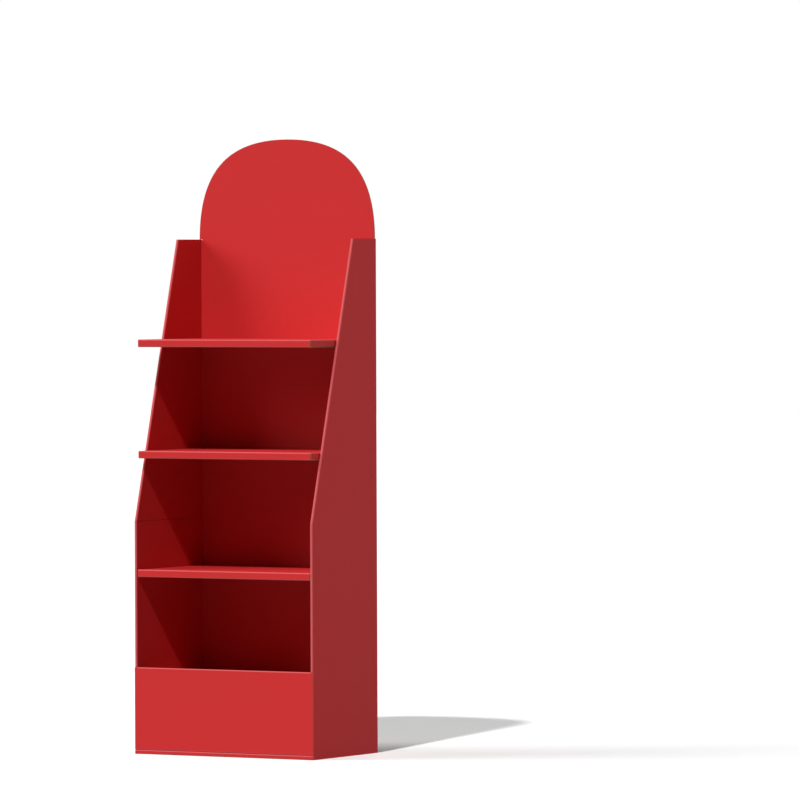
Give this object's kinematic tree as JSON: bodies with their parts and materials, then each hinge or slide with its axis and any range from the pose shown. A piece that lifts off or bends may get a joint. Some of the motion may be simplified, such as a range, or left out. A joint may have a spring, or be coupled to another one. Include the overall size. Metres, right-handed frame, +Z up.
{
  "type": "cardboard display stand",
  "caption": "Floor-standing cardboard display stand with a rounded header, sloping double side walls, closed slab shelves and a plinth base.",
  "frame": {"origin": "middle of the rectangular footprint, on the floor", "axes": "+X to the right seen from the front, +Y from the open front to the back, +Z up"},
  "size_m": [0.6, 0.36, 1.772],
  "materials": {
    "printed_board": "satin red print on corrugated board",
    "plain_board": "unprinted brown corrugated board"
  },
  "bodies": {
    "root": {"back_panel": "printed_board", "side_wall_left": "printed_board", "side_wall_right": "printed_board", "shelf_lower": "printed_board", "shelf_middle": "printed_board", "shelf_upper": "printed_board", "base_cover": "printed_board", "base_tray": "printed_board", "deck_brace_cross": "plain_board", "deck_brace_left": "plain_board", "deck_brace_right": "plain_board"}
  },
  "joints": []
}
